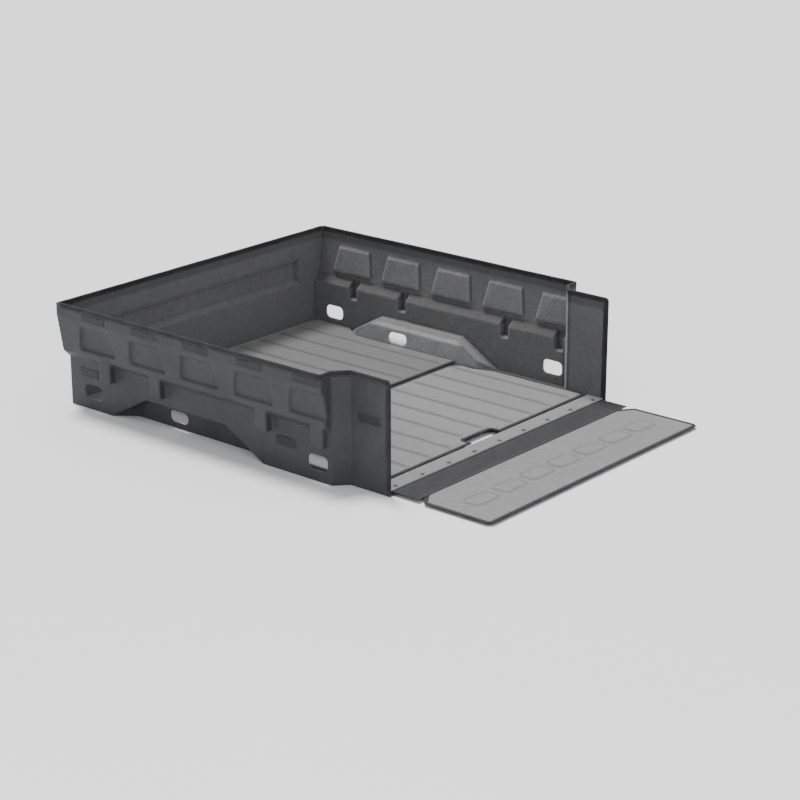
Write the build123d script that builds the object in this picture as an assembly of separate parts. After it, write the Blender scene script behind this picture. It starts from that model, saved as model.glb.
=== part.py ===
from build123d import *
import math
import os

# A moulded, foam-backed carpet liner for a five-foot pickup truck bed, out of the truck.
# It is a kit of panels: a front floor mat, a mat that lifts with the in-bed trunk lid, a sill strip,
# a bulkhead panel, two side panels with wheel-arch humps, and a tailgate mat.
# A flap on a bead-and-socket hinge covers the gap between the sill and the tailgate mat.
# Units are millimetres. +X is the truck's right side, +Y points to the cab, +Z is up.
# The origin is the bottom centre of the whole liner's box, with the tailgate mat lying open.

# ---- driving dimensions -------------------------------------------------------------------------
CLEAR = 2.0                  # gap between neighbouring pieces, unless another one is given

BED_LENGTH = 1615.0          # sill's rear edge to the bed's front wall
TAILGATE_REACH = 440.0       # sill's rear edge to the far edge of the open tailgate mat
REAR = (TAILGATE_REACH - BED_LENGTH) / 2   # Y of the sill's rear edge

PANEL = 7.0                  # thickness of a moulded panel
TOP_Z = 430.0                # height of the wall panels
WALL_X = 700.0               # half width between the lower walls
SHOULDER_X = 732.0           # half width just above the shoulder
TOP_X = 757.0                # half width at the top of the walls
SHOULDER_Z = 200.0           # where the shoulder starts
SHOULDER_RISE = 28.0
TOP_BAND_Z = 378.0           # the upright band under the top edge starts here
FAR_X = 900.0                # a plane well outside the walls, for the cutting solids

PILLAR_X = 650.0             # the rear pillar boxes stand this far from the middle
PILLAR_END = 190.0
PILLAR_SLOPE_END = 235.0

HUMP_X = 635.0               # inner face of the wheel-arch humps
HUMP_TOP_Z = 112.0
HUMP_START, HUMP_END = 560.0, 1380.0
HUMP_SLOPE = 190.0           # length of each sloping end
HUMP_PLAN_SLOPE = 80.0
HUMP_LEAN = 8.0
HUMP_SHOULDER = 22.0

BOLSTER_DEPTH = 11.0         # raised bolsters on the upper wall
BOLSTER_LENGTH = 210.0
BOLSTER_SLOPE = 22.0
BOLSTER_LOW, BOLSTER_HIGH = 244.0, 366.0
BOLSTER_PITCH = 275.0
BOLSTER_CENTRES = [300.0 + BOLSTER_PITCH * i for i in range(5)]

POCKET_WIDTH = 44.0          # plank pockets cut into the shoulder
POCKET_DEPTH = 34.0
POCKET_LOW = 150.0
POCKET_CENTRES = (271.0, 545.0, 1095.0, 1370.0)

TIE_DOWN_LENGTH, TIE_DOWN_RADIUS = 92.0, 18.0
WALL_TIE_DOWNS = ((296.0, 72.0), (1475.0, 72.0))   # centres, along the bed and up
TIE_DOWN_HEIGHT = 54.0
HUMP_TIE_DOWN = (1065.0, 50.0)
HUMP_TIE_DOWN_HEIGHT = 44.0

TUCK = 48.0                  # width of the strips that tuck under the floor mats
TUCK_THICK = 4.0

BULKHEAD_Y = 1590.0          # face of the bulkhead panel
GROOVE_DEPTH = 18.0
GROOVE_LOW, GROOVE_HIGH = 205.0, 320.0
GROOVE_SLOPE = 22.0
GROOVE_HALF = 610.0
BULKHEAD_GAP = 1.5           # clearance to the side panels
CORNER_HOOK = 2.5            # thickness of the hook tapes in the front corners
RETURN_START = BULKHEAD_Y + PANEL + CORNER_HOOK   # the side panels' returns behind the bulkhead
RETURN_END = RETURN_START + PANEL

CARPET_Z = 18.0              # underside of the floor carpets, on top of the foam
CARPET_EDGE = 2.0            # pressed edge of a carpet
CARPET = 4.0
RIB_RISE = 2.0
RIB_INSET = 24.0             # the ribs stop this far inside a carpet's edge
EDGE_BAND = 18.0             # width of the pressed edge
RIB_COUNT, RIB_PITCH, RIB_WIDTH = 9, 124.0, 98.0
RIB_RADIUS = 12.0
STRIP_HALF = 575.0           # the foam strips lie inside this half width
EDGE_FOAM_Z = 5.5            # underside of the edge foam, over the tuck strips
FOAM_INSET = 22.0            # the foam stops this far inside a carpet's edge

SILL_START, SILL_END = 3.0, 78.0
LID_START, LID_END = 86.0, 730.0
FRONT_START, FRONT_END = 742.0, 1586.0
LID_HALF, LID_FRONT_HALF = 644.0, 616.0   # half widths at the sill and between the humps
LID_TAPER = (545.0, 630.0)   # the lid mat narrows between these
LID_RADIUS = 60.0
LATCH_WIDTH, LATCH_DEPTH, LATCH_RADIUS = 170.0, 44.0, 14.0

TAPE = 1.4                   # thickness of the edge binding tape
TAPE_WIDTH = 14.0
WALL_TAPE_WIDTH = 19.0

HOOK = 2.0                   # thickness of the hook tapes on the panels' backs
HOOK_WIDTH, HOOK_LENGTH = 38.0, 130.0
SIDE_HOOK_WIDTH = 30.0
HOOK_HIGH = TOP_Z - WALL_TAPE_WIDTH - TAPE
BULKHEAD_HOOK_PITCH, BULKHEAD_LOW_HOOK = 280.0, 90.0
LOW_HOOKS = ((450.0, 96.0), (1495.0, 130.0))   # centre along the bed and lower edge
LOW_HOOK_LENGTH = 100.0
PILLAR_HOOK = (95.0, 250.0)
PILLAR_HOOK_LENGTH = 110.0
CORNER_HOOK_LOW = ((658.0, 692.0), (24.0, 184.0))   # X and Z extents
CORNER_HOOK_HIGH = ((711.0, 731.0), (250.0, 396.0))
THIN_HOOK = 1.5              # thickness of the hook tapes under the floor mats
FLOOR_HOOKS = ((603.0, 860.0), (603.0, 1160.0), (666.0, 1490.0))
FLOOR_HOOK_WIDTH, FLOOR_HOOK_LENGTH = 18.0, 120.0
LID_HOOK_LENGTH = 140.0
LID_HOOK_ROWS = (250.0, 600.0)

GATE_START = 95.0            # the tailgate mat starts this far behind the sill's rear edge
GATE_HALF = 645.0
GATE_FOAM = 10.6
GATE_NOTCH_X, GATE_NOTCH_Y = 72.0, 52.0
GATE_RADIUS = 24.0
GATE_BAND, GATE_FOAM_INSET = 22.0, 20.0
BAR_COUNT, BAR_PITCH = 7, 162.0   # plain grip bars across the tailgate mat
BAR_LENGTH, BAR_WIDTH, BAR_RADIUS = 118.0, 64.0, 18.0
BAR_ROW = -275.5
GATE_HOOK_PITCH, GATE_HOOK_LENGTH, GATE_HOOK_INSET = 440.0, 160.0, 60.0

HINGE_Y, HINGE_Z = -6.0, 14.0   # axis of the flap's bead, from the sill's rear edge
BEAD_R = 4.0
SOCKET_GAP = 0.08
SOCKET_WALL = 3.0
SOCKET_OPEN_FROM, SOCKET_OPEN_TO = 4.0, 148.0
FLAP_HALF = 638.0
FLAP_LOW, FLAP_HIGH = 1.2, 3.6  # the flap's faces above its axis
FLAP_REACH = 116.0
FLAP_NECK = 2.8              # the neck meets the bead this far behind its axis
FLAP_TIP, FLAP_TAPER = 1.2, 12.0
ANCHOR_LEAF = 40.0
LEAF_LOW, LEAF_HIGH = 14.5, 17.5
RIVET_COUNT, RIVET_PITCH = 9, 150.0
RIVET_Y = 22.0
RIVET_SHANK, RIVET_HEAD, RIVET_HEAD_H = 2.9, 8.0, 2.2
RIVET_HOLE = 3.0
RIVET_DEPTH = 12.0


# ---- helpers ------------------------------------------------------------------------------------
def prism(points, along):
    """A straight prism: the closed polygon through 3-D points, pushed along a vector."""
    face = Face(Wire.make_polygon([Vector(*p) for p in points], close=True))
    push = Vector(*along)
    return Part(extrude(face, amount=push.length, dir=push.normalized()).wrapped)


def plan(points, z0, z1):
    """A prism over a plan outline, whose y is measured from the sill's rear edge."""
    return prism([(x, REAR + y, z0) for x, y in points], (0, 0, z1 - z0))


def along_bed(points, y0, y1):
    """A prism along the bed over an X-Z section."""
    return prism([(x, REAR + y0, z) for x, z in points], (0, y1 - y0, 0))


def across_bed(points, x0, x1):
    """A prism across the bed over a Y-Z section."""
    return prism([(x0, REAR + y, z) for y, z in points], (x1 - x0, 0, 0))


def block(x0, x1, y0, y1, z0, z1):
    return plan([(x0, y0), (x1, y0), (x1, y1), (x0, y1)], z0, z1)


def group(solids):
    """Several separate solids in one node."""
    return Compound(children=[s for p in solids for s in p.solids()])


def mirrored(part):
    return mirror(part, about=Plane.YZ)


def spread(count, pitch):
    """Centres of count things at an even pitch about zero."""
    return [(i - (count - 1) / 2) * pitch for i in range(count)]


def both_sides(right_points):
    """A symmetric plan outline from its right-hand points, listed from the rear to the front."""
    return right_points + [(-x, y) for x, y in reversed(right_points)]


def sketch(points):
    return make_face(Polyline(*points, close=True))


def slab(outline, z0, z1):
    """An extruded plan sketch, whose y is measured from the sill's rear edge."""
    return Pos(0, REAR, z0) * extrude(outline, amount=z1 - z0)


def inset(outline, amount):
    return offset(outline, amount=-amount, kind=Kind.INTERSECTION)


# ---- right side panel ---------------------------------------------------------------------------
def wall_line(move):
    """The wall's X-Z line from the floor up, moved towards the truck by move."""
    return [
        (WALL_X + move, 0),
        (WALL_X + move, SHOULDER_Z),
        (SHOULDER_X + move, SHOULDER_Z + SHOULDER_RISE),
        (TOP_X + move, TOP_BAND_Z),
        (TOP_X + move, TOP_Z),
    ]


def wall_plan(move):
    """The plan outlines, at the floor, of everything on the truck's side of the face."""
    return [
        [(WALL_X + move, 0), (FAR_X, 0), (FAR_X, BULKHEAD_Y), (WALL_X + move, BULKHEAD_Y)],
        pillar_plan(move),
        hump_plan(move),
    ]


def pillar_plan(move):
    """Plan outline of the box round the truck's rear pillar."""
    return [
        (PILLAR_X + move, 0),
        (FAR_X, 0),
        (FAR_X, PILLAR_SLOPE_END - move),
        (WALL_X + move, PILLAR_SLOPE_END - move),
        (PILLAR_X + move, PILLAR_END - move),
    ]


def hump_plan(move):
    """Plan outline of the wheel-arch hump."""
    return [
        (WALL_X + move, HUMP_START + move),
        (HUMP_X + move, HUMP_START + HUMP_PLAN_SLOPE + move),
        (HUMP_X + move, HUMP_END - HUMP_PLAN_SLOPE - move),
        (WALL_X + move, HUMP_END - move),
        (FAR_X, HUMP_END - move),
        (FAR_X, HUMP_START + move),
    ]


def hump(move):
    """The hump: its plan, its side view and its section, all three at once."""
    top = HUMP_TOP_Z - move
    side = [
        (HUMP_START + move, 0),
        (HUMP_START + HUMP_SLOPE + move, top),
        (HUMP_END - HUMP_SLOPE - move, top),
        (HUMP_END - move, 0),
    ]
    section = [
        (HUMP_X + move, 0),
        (HUMP_X + HUMP_LEAN + move, top - HUMP_SHOULDER),
        (HUMP_X + HUMP_LEAN + HUMP_SHOULDER + move, top),
        (FAR_X, top),
        (FAR_X, 0),
    ]
    solid = plan(hump_plan(move), 0, top)
    solid &= across_bed(side, HUMP_X, FAR_X)
    solid &= along_bed(section, HUMP_START, HUMP_END)
    return solid


def bolster(centre, move):
    """One raised bolster on the upper wall."""
    half = BOLSTER_LENGTH / 2 - move
    side = [
        (centre - half, BOLSTER_LOW + move),
        (centre + half, BOLSTER_LOW + move),
        (centre + half - BOLSTER_SLOPE, BOLSTER_HIGH - move),
        (centre - half + BOLSTER_SLOPE, BOLSTER_HIGH - move),
    ]
    lean = (TOP_X - SHOULDER_X) / (TOP_BAND_Z - SHOULDER_Z - SHOULDER_RISE)
    section = []
    for z, depth in (
        (BOLSTER_LOW + move, 0),
        (BOLSTER_LOW + BOLSTER_DEPTH + move, BOLSTER_DEPTH),
        (BOLSTER_HIGH - BOLSTER_DEPTH - move, BOLSTER_DEPTH),
        (BOLSTER_HIGH - move, 0),
    ):
        face_x = SHOULDER_X + lean * (z - SHOULDER_Z - SHOULDER_RISE)
        section.append((face_x - depth + move, z))
    section += [(FAR_X, BOLSTER_HIGH - move), (FAR_X, BOLSTER_LOW + move)]
    return across_bed(side, WALL_X, FAR_X) & along_bed(section, centre - half, centre + half)


def truck_side(move):
    """Everything on the truck's side of the panel's face, moved towards the truck by move."""
    line = wall_line(move)
    solid = along_bed(line + [(FAR_X, TOP_Z), (FAR_X, 0)], 0, BULKHEAD_Y + TUCK)
    solid += plan(pillar_plan(move), 0, TOP_Z)
    solid += hump(move)
    for centre in BOLSTER_CENTRES:
        solid += bolster(centre, move)
    for centre in POCKET_CENTRES:
        half = POCKET_WIDTH / 2 + move
        solid -= block(
            WALL_X - PANEL,
            WALL_X + POCKET_DEPTH + move,
            centre - half,
            centre + half,
            POCKET_LOW - move,
            SHOULDER_Z + SHOULDER_RISE + move,
        )
    return solid


def tuck_strip():
    """The strip sewn to the foot of the side panel, which lies under the floor mats."""
    strip = sum((plan(p, 0, TUCK_THICK) for p in wall_plan(-TUCK)), Part())
    strip -= sum((plan(p, 0, TUCK_THICK) for p in wall_plan(0)), Part())
    return strip & block(0, FAR_X, 0, BULKHEAD_Y - TUCK, 0, TUCK_THICK)


def front_return():
    """The return of the side panel, behind the bulkhead panel's edge."""
    return along_bed(wall_line(-TUCK) + wall_line(PANEL)[::-1], RETURN_START, RETURN_END)


def tie_down_cut(centre, height, x0, x1):
    """A rounded slot through the panel, for the truck's tie-down cleat."""
    y, z = centre
    slot = RectangleRounded(TIE_DOWN_LENGTH, height, TIE_DOWN_RADIUS)
    return Pos(x0, 0, 0) * extrude(Plane.YZ * Pos(REAR + y, z) * slot, amount=x1 - x0)


def side_panel():
    shell = truck_side(0) - truck_side(PANEL)
    shell &= block(0, FAR_X - TUCK, 0, RETURN_END, 0, TOP_Z)
    shell += front_return()
    for centre in WALL_TIE_DOWNS:
        shell -= tie_down_cut(centre, TIE_DOWN_HEIGHT, WALL_X - PANEL, WALL_X + 2 * PANEL)
    hump_slot = tie_down_cut(HUMP_TIE_DOWN, HUMP_TIE_DOWN_HEIGHT, HUMP_X - PANEL, HUMP_X + 3 * PANEL)
    return shell - hump_slot


def top_strip(near, far, z0, z1):
    """The wall's top edge between two offsets from its face, pillar box included."""
    region = sum((plan(p, z0, z1) for p in top_plan(near)), Part())
    region -= sum((plan(p, z0, z1) for p in top_plan(far)), Part())
    return region & block(0, FAR_X - TUCK, 0, RETURN_END, z0, z1)


def top_plan(move):
    """Plan outlines at the top of the wall, of everything on the truck's side of the face."""
    return [
        [(TOP_X + move, 0), (FAR_X, 0), (FAR_X, RETURN_END), (TOP_X + move, RETURN_END)],
        pillar_plan(move),
    ]


def side_binding():
    """Tape folded over the top edge and down the rear edge of the side panel."""
    low = TOP_Z - WALL_TAPE_WIDTH
    inner, outer = PILLAR_X - TAPE, PILLAR_X + PANEL + TAPE
    tape = top_strip(-TAPE, PANEL + TAPE, low, TOP_Z + TAPE)
    tape += block(inner, outer, -TAPE, WALL_TAPE_WIDTH, 0, TOP_Z + TAPE)
    tape -= top_strip(0, PANEL, low, TOP_Z)
    tape -= block(PILLAR_X, PILLAR_X + PANEL, 0, WALL_TAPE_WIDTH, 0, TOP_Z)
    tape -= block(inner, PILLAR_X, 0, WALL_TAPE_WIDTH, 0, TUCK_THICK)
    return tape - front_return()


def side_hooks():
    """Hook tapes on the back of the side panel: five high, two low and one on the pillar box."""
    back, low_back, pillar_back = TOP_X + PANEL, WALL_X + PANEL, PILLAR_X + PANEL
    half = HOOK_LENGTH / 2
    tapes = [
        block(back, back + HOOK, y - half, y + half, HOOK_HIGH - SIDE_HOOK_WIDTH, HOOK_HIGH)
        for y in BOLSTER_CENTRES
    ]
    for y, z in LOW_HOOKS:
        half = LOW_HOOK_LENGTH / 2
        tapes.append(block(low_back, low_back + HOOK, y - half, y + half, z, z + HOOK_WIDTH))
    y, z = PILLAR_HOOK
    half = PILLAR_HOOK_LENGTH / 2
    tapes.append(block(pillar_back, pillar_back + HOOK, y - half, y + half, z, z + HOOK_WIDTH))
    return group(tapes)


def corner_hooks():
    """Hook tapes that join the bulkhead panel to the side panel's return."""
    start = BULKHEAD_Y + PANEL
    return group([
        block(*x, start, RETURN_START, *z) for x, z in (CORNER_HOOK_LOW, CORNER_HOOK_HIGH)
    ])


# ---- bulkhead -----------------------------------------------------------------------------------
def groove(move):
    """The long recess across the bulkhead, in the solid behind its face."""
    depth = BULKHEAD_Y + GROOVE_DEPTH
    section = [
        (BULKHEAD_Y - 5, GROOVE_LOW - 6 - move),
        (BULKHEAD_Y, GROOVE_LOW - move),
        (depth + move, GROOVE_LOW + GROOVE_SLOPE - move),
        (depth + move, GROOVE_HIGH - GROOVE_SLOPE + move),
        (BULKHEAD_Y, GROOVE_HIGH + move),
        (BULKHEAD_Y - 5, GROOVE_HIGH + 6 + move),
    ]
    outline = [
        (GROOVE_HALF + move, BULKHEAD_Y - 5),
        (GROOVE_HALF - GROOVE_SLOPE + move, depth + move),
        (-GROOVE_HALF + GROOVE_SLOPE - move, depth + move),
        (-GROOVE_HALF - move, BULKHEAD_Y - 5),
    ]
    wide = across_bed(section, -GROOVE_HALF - 20, GROOVE_HALF + 20)
    return wide & plan(outline, GROOVE_LOW - 40, GROOVE_HIGH + 40)


def bulkhead_panel():
    right = [(x - BULKHEAD_GAP, z) for x, z in wall_line(0)]
    front_view = both_sides(right)
    solid = along_bed(front_view, BULKHEAD_Y, BED_LENGTH)
    face = solid - groove(0)
    behind = along_bed(front_view, BULKHEAD_Y + PANEL, BED_LENGTH) - groove(PANEL)
    return face - behind


def bulkhead_tuck_strip():
    half = WALL_X - BULKHEAD_GAP
    return block(-half, half, BULKHEAD_Y - TUCK, BULKHEAD_Y, 0, TUCK_THICK)


def bulkhead_binding():
    half = TOP_X - BULKHEAD_GAP - TAPE
    y0, y1 = BULKHEAD_Y, BULKHEAD_Y + PANEL
    low = TOP_Z - WALL_TAPE_WIDTH
    tape = block(-half, half, y0 - TAPE, y1 + TAPE, low, TOP_Z + TAPE)
    return tape - block(-half, half, y0, y1, low, TOP_Z)


def bulkhead_hooks():
    back = BULKHEAD_Y + PANEL
    half = HOOK_LENGTH / 2
    tapes = [
        block(x - half, x + half, back, back + HOOK, z, z + HOOK_WIDTH)
        for x in spread(5, BULKHEAD_HOOK_PITCH)
        for z in (HOOK_HIGH - HOOK_WIDTH, BULKHEAD_LOW_HOOK)
    ]
    return group(tapes)


# ---- floor mats ---------------------------------------------------------------------------------
def front_outline():
    right = [
        (HUMP_X - CLEAR, FRONT_START),
        (HUMP_X - CLEAR, HUMP_END - HUMP_PLAN_SLOPE + CLEAR),
        (WALL_X - CLEAR, HUMP_END + 2 * CLEAR),
        (WALL_X - CLEAR, FRONT_END),
    ]
    return sketch(both_sides(right))


def lid_outline():
    right = [
        (LID_HALF, LID_START),
        (LID_HALF, LID_TAPER[0]),
        (LID_FRONT_HALF, LID_TAPER[1]),
        (LID_FRONT_HALF, LID_END),
    ]
    outline = sketch(both_sides(right))
    outline = fillet(outline.vertices().group_by(Axis.Y)[-1], LID_RADIUS)
    return outline - latch_notch()


def latch_notch():
    """The opening for the trunk lid's handle, at the lid mat's rear edge."""
    return Pos(0, LID_START) * RectangleRounded(LATCH_WIDTH, 2 * LATCH_DEPTH, LATCH_RADIUS)


def ribbed_carpet(outline, y0, y1, z):
    """A carpet with a pressed edge, and ribs along the bed."""
    carpet = slab(outline, z, z + CARPET_EDGE)
    body = inset(outline, EDGE_BAND)
    carpet += slab(body, z, z + CARPET)
    for x in spread(RIB_COUNT, RIB_PITCH):
        rib = Pos(x, (y0 + y1) / 2) * RectangleRounded(RIB_WIDTH, y1 - y0, RIB_RADIUS)
        carpet += slab(rib & inset(outline, RIB_INSET), z, z + CARPET + RIB_RISE)
    return carpet


def binding(outline, z):
    """Tape folded round the pressed edge of a carpet."""
    outer = offset(outline, amount=TAPE, kind=Kind.INTERSECTION)
    ring = outer - inset(outline, TAPE_WIDTH)
    edge = outline - inset(outline, TAPE_WIDTH)
    return slab(ring, z - TAPE, z + CARPET_EDGE + TAPE) - slab(edge, z, z + CARPET_EDGE)


def foam_strips(y0, y1):
    """Foam strips along the bed, one under each rib."""
    return [
        block(x - RIB_WIDTH / 2, x + RIB_WIDTH / 2, y0, y1, 0, CARPET_Z)
        for x in spread(RIB_COUNT, RIB_PITCH)
    ]


def edge_foam(outline, y_field):
    """Foam over the tuck strips, round the field of foam strips that ends at y_field."""
    field = Pos(0, y_field / 2) * Rectangle(2 * STRIP_HALF, y_field)
    return slab(inset(outline, FOAM_INSET) - field, EDGE_FOAM_Z, CARPET_Z)


def front_mat():
    return ribbed_carpet(front_outline(), FRONT_START + RIB_INSET, FRONT_END - 2 * RIB_INSET, CARPET_Z)


def front_foam():
    return group(foam_strips(FRONT_START + FOAM_INSET, BULKHEAD_Y - TUCK - 4 * CLEAR))


def front_edge_foam():
    return edge_foam(front_outline(), BULKHEAD_Y - TUCK - 2 * CLEAR)


def front_binding():
    whole = binding(front_outline(), CARPET_Z)
    return whole & block(-WALL_X, WALL_X, FRONT_START - TAPE, FRONT_START + TAPE_WIDTH, 0, TOP_Z)


def floor_hooks():
    """Hook tapes on the tuck strips, under the front mat's edge foam."""
    tapes = []
    half, long_half = FLOOR_HOOK_WIDTH / 2, FLOOR_HOOK_LENGTH / 2
    for x, y in FLOOR_HOOKS:
        tape = block(x - half, x + half, y - long_half, y + long_half, TUCK_THICK, EDGE_FOAM_Z)
        tapes += [tape, mirrored(tape)]
    return group(tapes)


def lid_mat():
    return ribbed_carpet(lid_outline(), LID_START + RIB_INSET, LID_END - RIB_INSET, CARPET_Z)


def lid_hook_blocks():
    half = HOOK_WIDTH / 2
    return [
        block(x - half, x + half, y - LID_HOOK_LENGTH / 2, y + LID_HOOK_LENGTH / 2, 0, THIN_HOOK)
        for x in spread(3, 2 * RIB_PITCH)
        for y in LID_HOOK_ROWS
    ]


def lid_foam():
    inside = slab(inset(lid_outline(), FOAM_INSET), 0, CARPET_Z)
    strips = [strip & inside for strip in foam_strips(LID_START, LID_END)]
    for hook in lid_hook_blocks():
        strips = [strip - hook for strip in strips]
    return group(strips)


def lid_edge_foam():
    return edge_foam(lid_outline(), LID_END)


# ---- sill, gap flap and its hinge ---------------------------------------------------------------
def rivet_holes(z0, z1):
    return [
        Pos(x, REAR + RIVET_Y, (z0 + z1) / 2) * Cylinder(RIVET_HOLE, z1 - z0)
        for x in spread(RIVET_COUNT, RIVET_PITCH)
    ]


def sill_mat():
    half = PILLAR_X - 2 * CLEAR
    mat = block(-half, half, SILL_START, SILL_END, CARPET_Z, CARPET_Z + CARPET)
    for hole in rivet_holes(CARPET_Z - 1, CARPET_Z + CARPET + 1):
        mat -= hole
    return mat


def sill_foam():
    half = PILLAR_X - TUCK - 2 * CLEAR
    foam = block(-half, half, SILL_START + CLEAR, SILL_END - CLEAR, 0, CARPET_Z)
    foam -= block(-half, half, 0, SILL_START + ANCHOR_LEAF + CLEAR, LEAF_LOW, CARPET_Z)
    for hole in rivet_holes(LEAF_LOW - RIVET_DEPTH + 4, LEAF_LOW + 1):
        foam -= hole
    return foam


def hinge_point(radius, degrees):
    """A Y-Z point round the hinge axis; 0 degrees points to the tailgate and 90 up."""
    a = math.radians(degrees)
    return (HINGE_Y - radius * math.cos(a), HINGE_Z + radius * math.sin(a))


def rod(radius, half):
    return Pos(0, REAR + HINGE_Y, HINGE_Z) * Rot(0, 90, 0) * Cylinder(radius, 2 * half)


def flap_anchor():
    """The socket strip that the flap's bead turns in, with a leaf under the sill carpet."""
    bore = BEAD_R + SOCKET_GAP
    socket = rod(bore + SOCKET_WALL, FLAP_HALF)
    leaf = block(-FLAP_HALF, FLAP_HALF, HINGE_Y, SILL_START + ANCHOR_LEAF, LEAF_LOW, LEAF_HIGH)
    mouth = [(HINGE_Y, HINGE_Z)]
    steps = 4
    for i in range(steps + 1):
        turn = SOCKET_OPEN_FROM + (SOCKET_OPEN_TO - SOCKET_OPEN_FROM) * i / steps
        mouth.append(hinge_point(20, turn))
    anchor = socket + leaf - rod(bore, FLAP_HALF + 1)
    anchor -= across_bed(mouth, -FLAP_HALF - 1, FLAP_HALF + 1) - block(
        -FLAP_HALF - 1, FLAP_HALF + 1, SILL_START - 1, 60, 0, 60
    )
    for hole in rivet_holes(LEAF_LOW - 1, LEAF_HIGH + 1):
        anchor -= hole
    return anchor


def gap_flap():
    """The flap that bridges the gap, with the bead of its hinge."""
    section = [
        (HINGE_Y - FLAP_NECK, HINGE_Z + FLAP_LOW),
        (-FLAP_REACH, HINGE_Z + FLAP_LOW),
        (-FLAP_REACH, HINGE_Z + FLAP_LOW + FLAP_TIP),
        (-FLAP_REACH + FLAP_TAPER, HINGE_Z + FLAP_HIGH),
        (HINGE_Y - FLAP_NECK, HINGE_Z + FLAP_HIGH),
    ]
    return rod(BEAD_R, FLAP_HALF) + across_bed(section, -FLAP_HALF, FLAP_HALF)


def rivets():
    """Push rivets that hold the sill carpet and the anchor's leaf to the foam."""
    top = CARPET_Z + CARPET
    made = []
    for x in spread(RIVET_COUNT, RIVET_PITCH):
        head = Cone(RIVET_HEAD, RIVET_HEAD - 3, RIVET_HEAD_H, align=(Align.CENTER, Align.CENTER, Align.MIN))
        shank = Cylinder(RIVET_SHANK, RIVET_DEPTH, align=(Align.CENTER, Align.CENTER, Align.MAX))
        made.append(Pos(x, REAR + RIVET_Y, top) * (head + shank))
    return group(made)


# ---- tailgate mat -------------------------------------------------------------------------------
def gate_outline():
    near, far = -GATE_START, -TAILGATE_REACH + TAPE
    right = [
        (GATE_HALF, far),
        (GATE_HALF, near - GATE_NOTCH_Y),
        (GATE_HALF - GATE_NOTCH_X, near),
    ]
    outline = sketch(both_sides(right))
    return fillet(outline.vertices().group_by(Axis.Y)[0], GATE_RADIUS)


def gate_mat():
    """The tailgate carpet, with a raised field and a row of plain grip bars."""
    outline = gate_outline()
    mat = slab(outline, GATE_FOAM, GATE_FOAM + CARPET_EDGE)
    mat += slab(inset(outline, GATE_BAND), GATE_FOAM, GATE_FOAM + CARPET)
    for x in spread(BAR_COUNT, BAR_PITCH):
        bar = Pos(x, BAR_ROW) * RectangleRounded(BAR_LENGTH, BAR_WIDTH, BAR_RADIUS)
        mat += slab(bar, GATE_FOAM, GATE_FOAM + CARPET + RIB_RISE)
    return mat


def gate_hook_blocks():
    half, long_half = HOOK_WIDTH / 2, GATE_HOOK_LENGTH / 2
    return [
        block(x - long_half, x + long_half, y - half, y + half, 0, THIN_HOOK)
        for x in spread(3, GATE_HOOK_PITCH)
        for y in (-GATE_START - GATE_HOOK_INSET, -TAILGATE_REACH + GATE_HOOK_INSET)
    ]


def gate_foam():
    foam = slab(inset(gate_outline(), GATE_FOAM_INSET), 0, GATE_FOAM)
    for hook in gate_hook_blocks():
        foam -= hook
    return foam


# ---- write every node ---------------------------------------------------------------------------
def main():
    right_panel = side_panel()
    right_tape = side_binding()
    gate_tape = binding(gate_outline(), GATE_FOAM)
    nodes = {
        "right_side_panel": right_panel,
        "left_side_panel": mirrored(right_panel),
        "right_side_binding": right_tape,
        "left_side_binding": mirrored(right_tape),
        "right_hook_tapes": side_hooks(),
        "left_hook_tapes": mirrored(side_hooks()),
        "right_corner_tapes": corner_hooks(),
        "left_corner_tapes": mirrored(corner_hooks()),
        "right_tuck_strip": tuck_strip(),
        "left_tuck_strip": mirrored(tuck_strip()),
        "bulkhead_panel": bulkhead_panel(),
        "bulkhead_tuck_strip": bulkhead_tuck_strip(),
        "bulkhead_binding": bulkhead_binding(),
        "bulkhead_hook_tapes": bulkhead_hooks(),
        "front_floor_mat": front_mat(),
        "front_floor_foam": front_foam(),
        "front_edge_foam": front_edge_foam(),
        "front_floor_binding": front_binding(),
        "floor_hook_tapes": floor_hooks(),
        "sill_mat": sill_mat(),
        "sill_foam": sill_foam(),
        "flap_anchor": flap_anchor(),
        "anchor_rivets": rivets(),
        "gap_flap": gap_flap(),
        "trunk_lid_mat": lid_mat(),
        "trunk_lid_foam": lid_foam(),
        "trunk_lid_edge_foam": lid_edge_foam(),
        "trunk_lid_binding": binding(lid_outline(), CARPET_Z),
        "trunk_lid_hook_tapes": group(lid_hook_blocks()),
        "tailgate_mat": gate_mat(),
        "tailgate_foam": gate_foam(),
        "tailgate_binding": gate_tape,
        "tailgate_hook_tapes": group(gate_hook_blocks()),
    }
    os.makedirs("parts", exist_ok=True)
    for name, shape in nodes.items():
        export_step(shape, f"parts/{name}.step")
        print(name, len(shape.solids()), round(shape.volume / 1000), "cm3")


main()
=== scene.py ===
import math

import bmesh
import bpy
import numpy as np
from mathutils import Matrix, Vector
from mathutils.geometry import delaunay_2d_cdt


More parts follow.
